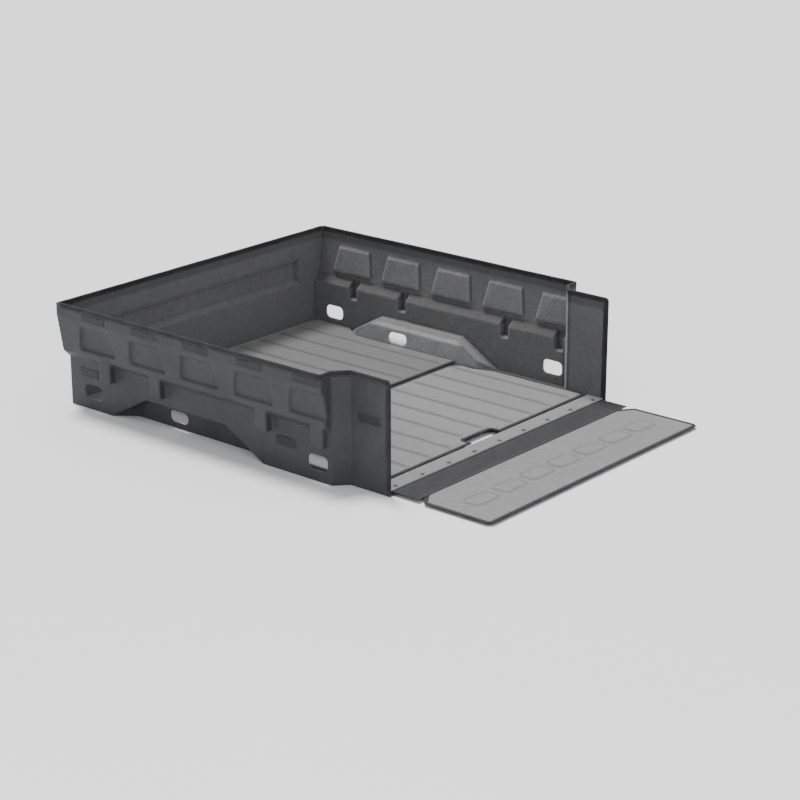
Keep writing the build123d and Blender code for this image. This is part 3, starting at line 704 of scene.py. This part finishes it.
def tape(name, path, out, gap, width, closed, body, node, wide=1):
    """A tape folded over an edge: the path is the edge, out points away from the panel.

    gap is half the panel's thickness, and width is how far the tape reaches back over it.
    wide is how many times thicker the panel is at each point of the path.
    """
    t = tangents(path, closed)
    side = np.cross(t, out) * np.broadcast_to(wide, len(path))[:, None]
    skin = gap + TAPE
    profile = [
        (width, gap), (width, skin - 0.3 * MM), (width - 0.8 * MM, skin), (3 * MM, skin + 0.1 * MM),
        (0.4 * MM, skin - 0.1 * MM), (-0.8 * TAPE, gap * 0.75 + 0.3 * MM), (-TAPE, 0.0),
    ]
    outer = profile + [(a, -b) for a, b in reversed(profile[:-1])]
    inner = [(0.0, -gap), (0.0, gap)]
    ring = np.array(outer + inner)
    n, m = len(path), len(ring)
    ripple = 1 + 0.05 * np.sin(np.arange(n) * 1.7)
    verts = np.concatenate([
        path + out * -a + side * (b * (ripple[:, None] if abs(b) > gap else 1)) for a, b in ring
    ]).reshape(m, n, 3)
    index = np.arange(m * n).reshape(m, n)
    faces = []
    runs = n if closed else n - 1
    for i in range(m):
        j = (i + 1) % m
        for k in range(runs):
            q = (k + 1) % n
            faces.append((index[i, k], index[i, q], index[j, q], index[j, k]))
    flat = [tuple(map(int, f)) for f in faces]
    if not closed:
        flat.append(tuple(int(v) for v in index[:, 0]))
        flat.append(tuple(int(v) for v in index[::-1, -1]))
    obj = make(name, verts.reshape(-1, 3), flat, BINDING)
    place(obj, body, "binding_tape", node)
    seam = path - out * (width - 4 * MM)
    stitches(name + "_stitches", stitch_run(seam, side, skin, closed), body)
    return obj


def stitch_run(seam, side, lift, closed, faces=(-1, 1)):
    """Places for stitches along a seam: middle, direction along it, and the way out of the cloth."""
    loop = np.vstack([seam, seam[:1]]) if closed else seam
    sides = np.vstack([side, side[:1]]) if closed else side
    along = np.r_[0, np.cumsum(np.linalg.norm(np.diff(loop, axis=0), axis=1))]
    spots = np.arange(STITCH_PITCH / 2, along[-1] - STITCH_PITCH / 2, STITCH_PITCH)
    at = np.stack([np.interp(spots, along, loop[:, i]) for i in range(3)], axis=1)
    ahead = np.stack([np.interp(spots + MM, along, loop[:, i]) for i in range(3)], axis=1) - at
    ahead /= np.linalg.norm(ahead, axis=1, keepdims=True)
    up = np.stack([np.interp(spots, along, sides[:, i]) for i in range(3)], axis=1)
    size = np.linalg.norm(up, axis=1, keepdims=True)
    up /= size
    return [(at + up * face * (lift * size + 0.1 * MM), ahead, up) for face in faces]


def stitches(name, runs, body, slot="binding_tape"):
    """Small rounded stitches, all in one piece."""
    at, ahead, up = (np.concatenate(parts) for parts in zip(*runs))
    across = np.cross(ahead, up)
    rings = [(-0.5, 0.25), (-0.32, 0.9), (0.0, 1.0), (0.32, 0.9), (0.5, 0.25)]
    corners = 6
    ring_points = []
    for a, r in rings:
        for c in range(corners):
            turn = 2 * math.pi * c / corners
            offset = across * math.cos(turn) + up * math.sin(turn)
            ring_points.append(at + ahead * a * STITCH_LENGTH + offset * r * STITCH_R)
    size = len(ring_points)
    verts = np.stack(ring_points, axis=1).reshape(-1, 3)
    one = []
    for i in range(len(rings) - 1):
        for c in range(corners):
            d = (c + 1) % corners
            a, b = i * corners, (i + 1) * corners
            one.append((a + c, a + d, b + d, b + c))
    starts = np.arange(len(at)) * size
    faces = (np.array(one)[None] + starts[:, None, None]).reshape(-1, 4).tolist()
    for cap in (np.arange(corners)[::-1], np.arange(corners) + size - corners):
        faces += (cap[None] + starts[:, None]).tolist()
    return place(make(name, verts, faces, THREAD), body, slot)


def flat_tape(name, path, level, body, node, closed=True):
    """Binding round the edge of a floor carpet."""
    spots = np.c_[path[:, 0], path[:, 1] + REAR, np.full(len(path), level + EDGE / 2)]
    t = tangents(spots, closed)
    out = np.cross(t, (0, 0, 1))
    return tape(name, spots, out, EDGE / 2, MAT_TAPE_WIDTH, closed, body, node)


def side_path(sign):
    """The middle of the side panel's top and rear edges, and the way out of the panel there."""
    slant_from, slant_to = PILLAR_SLANT
    inner, behind = 300, -40                       # the loop closes well inside and behind the panel
    inner_limit, rear_limit = 640 * MM, 16 * MM    # what lies past these is left out again
    corners = [
        (TOP_LINE, PANEL_FRONT, 1), (TOP_LINE, slant_to, 6.5), (PILLAR_STEP, slant_to, 6.5),
        (PILLAR_FACE, slant_from, 9), (PILLAR_FACE, behind, 1), (inner, behind, 1),
        (inner, PANEL_FRONT, 1),
    ]
    plan = rounded(corners, 12 * MM)
    along = plan[:, 1]
    kept = (along < (PANEL_FRONT - 1) * MM) & (along > rear_limit)
    plan = plan[(plan[:, 0] > inner_limit) & kept]
    plan = plan[np.argsort(-arc_order(plan))]
    x, bend = PILLAR_FACE * MM, 14 * MM
    centre_z = TOP - bend
    turns = np.linspace(0, math.pi / 2, 7)
    corner = np.array([
        (x, bend - bend * math.sin(a), centre_z + bend * math.cos(a)) for a in turns
    ])
    drop = np.array([(x, 0.0, z) for z in np.arange(centre_z - 12 * MM, 5 * MM, -12 * MM)])
    top = np.c_[plan, np.full(len(plan), TOP)]
    path = np.vstack([top, corner, drop]) + (0, REAR, 0)
    out = np.vstack([
        np.tile((0, 0, 1), (len(top), 1)),
        np.array([(0, -math.sin(a), math.cos(a)) for a in turns]),
        np.tile((0, -1, 0), (len(drop), 1)),
    ]).astype(float)
    return path * (sign, 1, 1), out


def slant_width(path):
    """How much thicker the side panel is on the slanting face of its pillar box."""
    x, y = np.abs(path[:, 0]), path[:, 1] - REAR
    slant = smoothstep(178 * MM, 187 * MM, y) * smoothstep(236 * MM, 230 * MM, y)
    return 1 + 0.28 * slant * smoothstep(709 * MM, 702 * MM, x)


def arc_order(plan):
    """A number that rises along the side panel's top edge, from the rear to the cab."""
    return plan[:, 1] + plan[:, 0] * 0.05


# ---- softened CAD pieces ------------------------------------------------------------------------
def softened(node, material, bevel, body, slot):
    """The node's shape with its edges rounded and a material of its own."""
    obj = link(node + "_shaped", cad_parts[node].data.copy())
    modify(obj, "WELD", merge_threshold=1e-5)
    modify(obj, "BEVEL", width=bevel, segments=2, limit_method="ANGLE", harden_normals=False)
    bake(obj)
    mesh = obj.data
    mesh.materials.clear()
    mesh.materials.append(material)
    mesh.polygons.foreach_set("material_index", [0] * len(mesh.polygons))
    mesh.polygons.foreach_set("use_smooth", [True] * len(mesh.polygons))
    modify(obj, "WEIGHTED_NORMAL", keep_sharp=False)
    bake(obj)
    return place(obj, body, slot, node)


def loose_boxes(node):
    """The lowest and highest corner of each separate solid of a node."""
    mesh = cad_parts[node].data
    points = points_of(mesh)
    key = {}
    merged = [key.setdefault(tuple(p), len(key)) for p in np.round(points, 5).tolist()]
    parent = list(range(len(key)))

    def root(i):
        while parent[i] != i:
            parent[i] = parent[parent[i]]
            i = parent[i]
        return i

    for polygon in mesh.polygons:
        first = root(merged[polygon.vertices[0]])
        for v in polygon.vertices[1:]:
            parent[root(merged[v])] = first
    groups = {}
    for i, m in enumerate(merged):
        groups.setdefault(root(m), []).append(points[i])
    boxes = [(np.min(g, axis=0), np.max(g, axis=0)) for g in groups.values()]
    return sorted(boxes, key=lambda b: tuple(b[0]))


def pad_outline(half_a, half_b, radius, steps=5):
    """The outline of a rectangle with rounded corners, from its half sizes."""
    path = []
    for sa, sb, start in ((1, 1, 0), (-1, 1, 90), (-1, -1, 180), (1, -1, 270)):
        for i in range(steps):
            turn = math.radians(start + 90 * i / (steps - 1))
            path.append((
                sa * (half_a - radius) + radius * math.cos(turn),
                sb * (half_b - radius) + radius * math.sin(turn),
            ))
    return np.array(path)


def hook_pads(node, body, outward, relief=None, sewn=True):
    """The node's strips of hook tape, each with a flat border round a raised field of hooks."""
    outward = np.array(outward, float)
    thin = int(np.argmax(np.abs(outward)))
    a_axis, b_axis = [i for i in range(3) if i != thin]
    verts, faces, runs = [], [], []
    for low, high in loose_boxes(node):
        middle, half = (low + high) / 2, (high - low) / 2
        floor = low[thin] if outward[thin] > 0 else high[thin]
        thick = 2 * half[thin]
        rings = [                     # (distance in from the edge in millimetres, share of thickness)
            (0.0, 0.0), (0.0, 0.55), (0.5, 0.72), (3.2, 0.72), (3.9, 0.95), (4.8, 1.0), (9.0, 0.97),
        ]
        start = len(verts)
        for inset, level in rings:
            reach = half - inset * MM
            ring = pad_outline(reach[a_axis], reach[b_axis], max(5 - inset, 1) * MM)
            count = len(ring)
            for a, b in ring:
                point = np.empty(3)
                point[a_axis], point[b_axis] = middle[a_axis] + a, middle[b_axis] + b
                point[thin] = floor + outward[thin] * thick * level
                verts.append(point)
        for r in range(len(rings) - 1):
            for i in range(count):
                j = (i + 1) % count
                k = start + r * count
                faces.append((k + i, k + j, k + count + j, k + count + i))
        faces.append(tuple(start + i for i in range(count)))
        faces.append(tuple(start + (len(rings) - 1) * count + i for i in range(count)))
        if sewn:
            reach = half - 1.8 * MM
            sewing = pad_outline(reach[a_axis], reach[b_axis], 3.5 * MM)
            seam = np.zeros((len(sewing), 3))
            seam[:, a_axis] = middle[a_axis] + sewing[:, 0]
            seam[:, b_axis] = middle[b_axis] + sewing[:, 1]
            seam[:, thin] = floor
            seam = densified(seam)
            ways = np.tile(outward, (len(seam), 1))
            runs += stitch_run(seam, ways, thick - 0.75 * MM, True, (1,))
    verts = np.array(verts)
    if relief:
        verts = verts + relief(verts)
        runs = [(at + relief(at), ahead, up) for at, ahead, up in runs]
    obj = make(node + "_sewn", verts, faces, HOOKS, smooth=False)
    if runs:
        stitches(node + "_stitches", runs, body, "hook_tape")
    return place(obj, body, "hook_tape", node)


def densified(loop, step=6 * MM):
    """A closed path with points added along its long sides."""
    points = []
    for a, b in zip(loop, np.roll(loop, -1, axis=0)):
        count = int(np.linalg.norm(b - a) / step) + 1
        points.extend(a + (b - a) * i / count for i in range(count))
    return np.array(points)


def rivet_heads():
    """Push rivets with domed heads, a dished middle and ribbed shanks."""
    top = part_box("sill_mat")[1].z - 0.3 * MM
    head = [
        (0.0, 1.5), (1.4, 1.6), (2.3, 2.2), (3.2, 2.65), (4.6, 2.6), (6.2, 2.05), (7.4, 1.2),
        (8.0, 0.35), (7.9, 0.0), (7.0, -0.1), (2.9, -0.1),
    ]
    shank = [(2.9, -3.0), (2.6, -3.4), (2.9, -4.6), (2.6, -5.0), (2.9, -6.2), (2.6, -6.6), (2.9, -8.0)]
    profile = head + shank + [(2.4, -9.5), (1.2, -11.5), (0.0, -11.6)]    # (radius, height)
    sides = 28
    verts, faces = [], []
    for i in range(RIVET_COUNT):
        x = (i - (RIVET_COUNT - 1) / 2) * RIVET_PITCH
        start = len(verts)
        for r, z in profile:
            for k in range(sides):
                turn = 2 * math.pi * k / sides
                spread = max(r, 0.02) * MM
                across, along = spread * math.cos(turn), spread * math.sin(turn)
                verts.append((x + across, REAR + RIVET_ROW + along, top + z * MM))
        for j in range(len(profile) - 1):
            for k in range(sides):
                a, b = start + j * sides + k, start + j * sides + (k + 1) % sides
                faces.append((a, b, b + sides, a + sides))
        faces.append(tuple(start + k for k in range(sides)))
        faces.append(tuple(start + (len(profile) - 1) * sides + k for k in range(sides)))
    return place(make("push_rivets", verts, faces, PLASTIC), "tub", "rivet_plastic", "anchor_rivets")


def flap_profile():
    """The gap flap's Y-Z section in millimetres: a thin tip, a grooved face, a neck and a bead."""
    hinge_y, hinge_z, bead = -6.0, 14.0, 4.0
    low, high, reach = hinge_z + 1.2, hinge_z + 3.6, -116.0
    points = [(y, low) for y in np.arange(-12, reach + 4, -8)]
    points += [(reach + 0.4, low), (reach, low + 0.4), (reach, low + 0.9), (reach + 0.5, low + 1.3)]
    points += [(reach + 12, high - 0.1), (reach + 13.5, high)]
    for groove in np.arange(reach + 18, -18, 7.0):
        points += [(groove - 1.4, high), (groove - 0.7, high - 0.7)]
        points += [(groove + 0.7, high - 0.7), (groove + 1.4, high)]
    bead_r, neck = bead - 0.12, 2.8
    points.append((hinge_y - neck, high))
    neck_high = math.acos(-neck / bead_r)
    neck_low = -math.pi - math.asin((low - hinge_z) / bead_r)
    for turn in np.linspace(neck_high, neck_low, 44):
        points.append((hinge_y + bead_r * math.cos(turn), hinge_z + bead_r * math.sin(turn)))
    return np.array(points) * MM


def gap_flap():
    """The rubber flap, which rests on the tailgate mat and ripples a little away from its hinge."""
    section = flap_profile()
    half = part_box("gap_flap")[1].x
    stations = np.linspace(-half, half, 86)
    count = len(section)
    free = smoothstep(-40 * MM, -100 * MM, section[:, 0])
    verts = []
    for i, x in enumerate(stations):
        ripple = 0.35 * MM * math.sin(17 * x + 1.0) + 0.15 * MM * math.sin(43 * x)
        rows = np.c_[np.full(count, x), REAR + section[:, 0], section[:, 1] + ripple * free]
        verts.extend(rows.tolist())
    faces = []
    for i in range(len(stations) - 1):
        for j in range(count):
            k = (j + 1) % count
            a = i * count
            faces.append((a + j, a + k, a + count + k, a + count + j))
    faces.append(tuple(range(count)))
    faces.append(tuple((len(stations) - 1) * count + j for j in range(count)))
    flap = make("ribbed_gap_flap", verts, faces, RUBBER, smooth=False)
    return place(flap, "gap_flap", "flap_rubber", "gap_flap")


# ---- build: walls -------------------------------------------------------------------------------
RELIEF = {"right": sideways_relief(11), "left": sideways_relief(21)}
SIGN = {"right": 1, "left": -1}
for side, sign in SIGN.items():
    moulded(f"{side}_side_panel", WALL_CARPET_PAINTED_SHADE, (-sign, 0, 0.6), RELIEF[side])
    path, out = side_path(sign)
    path = path + RELIEF[side](path)
    tape(
        f"{side}_edge_binding", path, out, PANEL / 2, WALL_TAPE_WIDTH, False, "tub",
        f"{side}_side_binding", slant_width(path),
    )
    hook_pads(f"{side}_hook_tapes", "tub", (sign, 0, 0), RELIEF[side])
    softened(f"{side}_corner_tapes", HOOKS, 0.7 * MM, "tub", "hook_tape")
    softened(f"{side}_tuck_strip", BACKING, 1.2 * MM, "tub", "wall_carpet")

moulded("bulkhead_panel", WALL_CARPET_PAINTED_SHADE, (0, -1, 0.3), bulkhead_relief)
xs = np.arange(-BULKHEAD_HALF, BULKHEAD_HALF + 1, 12) * MM
bulkhead_y = REAR + BULKHEAD_PLACE * MM
bulkhead_line = np.c_[xs, np.full(len(xs), bulkhead_y), np.full(len(xs), TOP)]
bulkhead_line += bulkhead_relief(bulkhead_line)
up = np.tile((0.0, 0.0, 1.0), (len(xs), 1))
tape(
    "bulkhead_edge_binding", bulkhead_line, up, PANEL / 2, WALL_TAPE_WIDTH, False, "tub",
    "bulkhead_binding",
)
hook_pads("bulkhead_hook_tapes", "tub", (0, 1, 0), bulkhead_relief)
softened("bulkhead_tuck_strip", BACKING, 1.2 * MM, "tub", "wall_carpet")

# ---- build: floor -------------------------------------------------------------------------------
FRONT_HALF, FRONT_START, FRONT_END = 698, 742, 1586
BETWEEN_HUMPS = 633
front_path = rounded(both_sides([
    (BETWEEN_HUMPS, FRONT_START, 14), (BETWEEN_HUMPS, 1302, 40), (FRONT_HALF, 1384, 40),
    (FRONT_HALF, FRONT_END, 18),
]))
laid_mat(
    "front_floor_carpet", front_path, CARPET_Z, rib_columns(FRONT_HALF * MM), 13 * MM,
    floor_height, FRONT_CARPET_PAINTED_SHADE, "tub", "front_floor_mat",
    41,
)
rear_half = BETWEEN_HUMPS - 2
rear_run = np.array([(x * MM, FRONT_START * MM) for x in np.arange(-rear_half, rear_half + 1, 9)])
flat_tape("front_floor_edge_binding", rear_run, CARPET_Z, "tub", "front_floor_binding", closed=False)

LID_HALF, LID_FRONT_HALF, LID_START, LID_END = 644, 616, 86, 730
NOTCH_HALF, NOTCH_END = 85, 130
latch_notch = [
    (-NOTCH_HALF, LID_START, 5), (-NOTCH_HALF, NOTCH_END, 14),
    (NOTCH_HALF, NOTCH_END, 14), (NOTCH_HALF, LID_START, 5),
]
lid_right = [
    (LID_HALF, LID_START, 22), (LID_HALF, 545, 60), (LID_FRONT_HALF, 630, 60),
    (LID_FRONT_HALF, LID_END, 60),
]
lid_path = rounded(latch_notch + both_sides(lid_right))
laid_mat(
    "trunk_lid_carpet", lid_path, CARPET_Z, rib_columns(LID_HALF * MM), 13 * MM,
    floor_height, FLOOR_CARPET, "trunk_lid", "trunk_lid_mat",
    51,
)
flat_tape("trunk_lid_edge_binding", lid_path, CARPET_Z, "trunk_lid", "trunk_lid_binding")

SILL_HALF, SILL_START, SILL_END = 646, 3, 78
sill_path = rounded(both_sides([(SILL_HALF, SILL_START, 5), (SILL_HALF, SILL_END, 5)]))
laid_mat(
    "sill_carpet", sill_path, CARPET_Z, np.arange(1 - SILL_HALF, SILL_HALF, 7.5) * MM, 6 * MM,
    sill_height, FLOOR_CARPET, "tub", "sill_mat", 61,
)

GATE_HALF, GATE_FAR, GATE_NEAR = 645, -438.6, -95
gate_right = [(GATE_HALF, GATE_FAR, 24), (GATE_HALF, -147, 16), (573, GATE_NEAR, 16)]
gate_path = rounded(both_sides(gate_right))
laid_mat(
    "tailgate_carpet", gate_path, GATE_Z, np.arange(-GATE_HALF, GATE_HALF + 1, 5) * MM, 5 * MM,
    gate_height, FLOOR_CARPET, "tailgate", "tailgate_mat", 71,
)
flat_tape("tailgate_edge_binding", gate_path, GATE_Z, "tailgate", "tailgate_binding")

# ---- build: foam, hook tapes, flap and rivets ---------------------------------------------------
foam_bodies = {
    "front_floor_foam": "tub", "front_edge_foam": "tub", "sill_foam": "tub",
    "trunk_lid_foam": "trunk_lid", "trunk_lid_edge_foam": "trunk_lid", "tailgate_foam": "tailgate",
}
for node, body in foam_bodies.items():
    softened(node, FOAM, 1.5 * MM, body, "foam")
hook_pads("floor_hook_tapes", "tub", (0, 0, 1), sewn=False)
hook_pads("trunk_lid_hook_tapes", "trunk_lid", (0, 0, -1))
hook_pads("tailgate_hook_tapes", "tailgate", (0, 0, -1))
gap_flap()
softened("flap_anchor", RUBBER, 0.3 * MM, "tub", "flap_rubber")
rivet_heads()


# ---- floor, light and camera --------------------------------------------------------------------
STAGE_DROP = 0.2 * MM                        # the stage lies this far under the liner
LENS = 98
CAMERA_AT, CAMERA_AIM = (-6.066, REAR - 4.623, 2.86), Vector((-0.06, -0.13, 0.10))


def stage():
    """A wide pale floor and an even sky."""
    half = 60
    corners = [(-half, -half, 0), (half, -half, 0), (half, half, 0), (-half, half, 0)]
    n = Nodes("studio_floor", 0.9, Specular_IOR_Level=0.2)
    n.colour(n.mix(n.noise(0.9, 3), (0.82, 0.82, 0.825), (0.84, 0.84, 0.845)))
    level = np.array(corners) - (0, 0, STAGE_DROP)
    floor = make("studio_floor", level, [(0, 1, 2, 3)], n.material)
    world = bpy.data.worlds.new("studio")
    world.use_nodes = True
    background = world.node_tree.nodes["Background"]
    background.inputs["Color"].default_value = (0.97, 0.98, 1.0, 1)
    background.inputs["Strength"].default_value = 0.85
    bpy.context.scene.world = world


def sun(name, direction, strength, degrees, colour=(1, 1, 1)):
    """A soft key light that shines the same all over; direction points from the object to it."""
    data = bpy.data.lights.new(name, "SUN")
    data.energy, data.angle, data.color = strength, math.radians(degrees), colour
    lamp = bpy.data.objects.new(name, data)
    lamp.rotation_euler = Vector(direction).to_track_quat("Z", "Y").to_euler()
    bpy.context.scene.collection.objects.link(lamp)


def area_light(name, where, target, size, watts, colour=(1, 1, 1)):
    """A square lamp that faces the target."""
    data = bpy.data.lights.new(name, "AREA")
    data.energy, data.size, data.color = watts, size, colour
    lamp = bpy.data.objects.new(name, data)
    lamp.location = where
    lamp.rotation_euler = (Vector(target) - Vector(where)).to_track_quat("-Z", "Y").to_euler()
    bpy.context.scene.collection.objects.link(lamp)


def camera():
    """A long lens, from behind the tailgate and to the truck's left."""
    data = bpy.data.cameras.new("camera")
    data.lens = LENS
    cam = bpy.data.objects.new("camera", data)
    cam.location = CAMERA_AT
    cam.rotation_euler = (CAMERA_AIM - cam.location).to_track_quat("-Z", "Y").to_euler()
    bpy.context.scene.collection.objects.link(cam)
    bpy.context.scene.camera = cam


stage()
sun("key", (0.10, 0.34, 1.0), 4.2, 16, (1.0, 0.99, 0.97))
area_light("left_fill", (-4.5, -3.0, 2.6), (0, 0, 0.2), 2.5, 40, (0.95, 0.97, 1.0))
camera()
